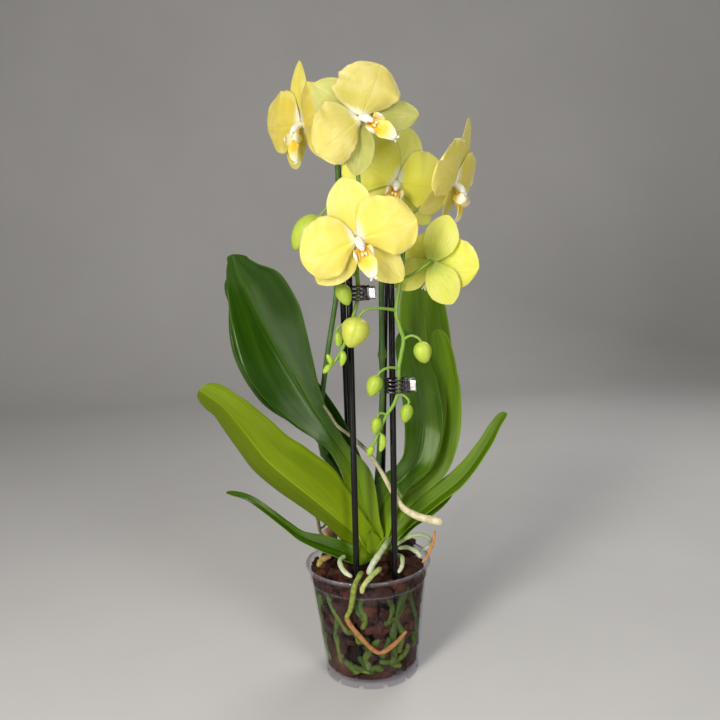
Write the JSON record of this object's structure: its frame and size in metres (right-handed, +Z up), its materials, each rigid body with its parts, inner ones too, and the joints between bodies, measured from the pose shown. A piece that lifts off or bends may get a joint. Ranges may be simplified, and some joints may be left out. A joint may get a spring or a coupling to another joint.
{
  "type": "potted orchid",
  "caption": "Flowering moth orchid in a clear nursery pot of bark, its flower spikes held to slim stakes by claw clips with sprung jaws.",
  "frame": {"origin": "centre of the pot's foot ring, on the surface the pot stands on", "axes": "+Z up along the pot's axis, -Y towards the side that the front flower faces, +X to that side's right"},
  "size_m": [0.2843, 0.1963, 0.5761],
  "materials": {
    "clear_plastic": "clear, smooth",
    "bark": "rough bark",
    "black_plastic": "gloss",
    "leaf": "waxy",
    "root": "matte",
    "stem": "smooth",
    "sepal": "soft petal",
    "petal": "soft petal",
    "lip": "waxy",
    "gunmetal": "dark plated",
    "bright_steel": "polished"
  },
  "bodies": {
    "plant": {"bark_bed": "bark", "bark_chip_1": "bark", "bark_chip_2": "bark", "bark_chip_3": "bark", "bark_chip_4": "bark", "clip_lower_front_jaw": "gunmetal", "clip_lower_pin": "bright_steel", "clip_lower_spring": "bright_steel", "clip_upper_front_jaw": "gunmetal", "clip_upper_pin": "bright_steel", "clip_upper_spring": "bright_steel", "flower_behind_lip": "lip", "flower_behind_petals": "petal", "flower_behind_sepals": "sepal", "flower_front_lip": "lip", "flower_front_petals": "petal", "flower_front_sepals": "sepal", "flower_left_lip": "lip", "flower_left_petals": "petal", "flower_left_sepals": "sepal", "flower_middle_lip": "lip", "flower_middle_petals": "petal", "flower_middle_sepals": "sepal", "flower_right_lip": "lip", "flower_right_petals": "petal", "flower_right_sepals": "sepal", "flower_spike_left": "stem", "flower_spike_right": "stem", "flower_top_lip": "lip", "flower_top_petals": "petal", "flower_top_sepals": "sepal", "leaf_left_back": "leaf", "leaf_left_front": "leaf", "leaf_left_low": "leaf", "leaf_left_upper": "leaf", "leaf_right_back": "leaf", "leaf_right_inner": "leaf", "leaf_right_low": "leaf", "leaf_right_outer": "leaf", "leaf_right_short": "leaf", "pot": "clear_plastic", "root_aerial_long": "root", "root_front_left": "root", "root_front_thick": "root", "root_left_stub": "root", "root_left_tangle": "root", "root_orange_thin": "root", "root_outside": "root", "root_over_rim": "root", "root_right_front": "root", "root_right_loop": "root", "root_right_short": "root", "stake_left_back": "black_plastic", "stake_left_front": "black_plastic", "stake_right_back": "black_plastic", "stake_right_front": "black_plastic", "stem_base": "stem"},
    "clip_upper_jaw": {"clip_upper_back_jaw": "gunmetal"},
    "clip_lower_jaw": {"clip_lower_back_jaw": "gunmetal"}
  },
  "joints": [
    {"name": "clip_upper_hinge", "type": "hinge", "parent": "plant", "child": "clip_upper_jaw", "pos_m": [0.0085, -0.0394, 0.37], "axis": [0, 0, -1], "range_deg": [0, 25], "stiffness_Nm_per_rad": 0.02, "springref_deg": -9.74},
    {"name": "clip_lower_hinge", "type": "hinge", "parent": "plant", "child": "clip_lower_jaw", "pos_m": [0.041, -0.0382, 0.2865], "axis": [0, 0, -1], "range_deg": [0, 25], "stiffness_Nm_per_rad": 0.02, "springref_deg": -9.74}
  ]
}
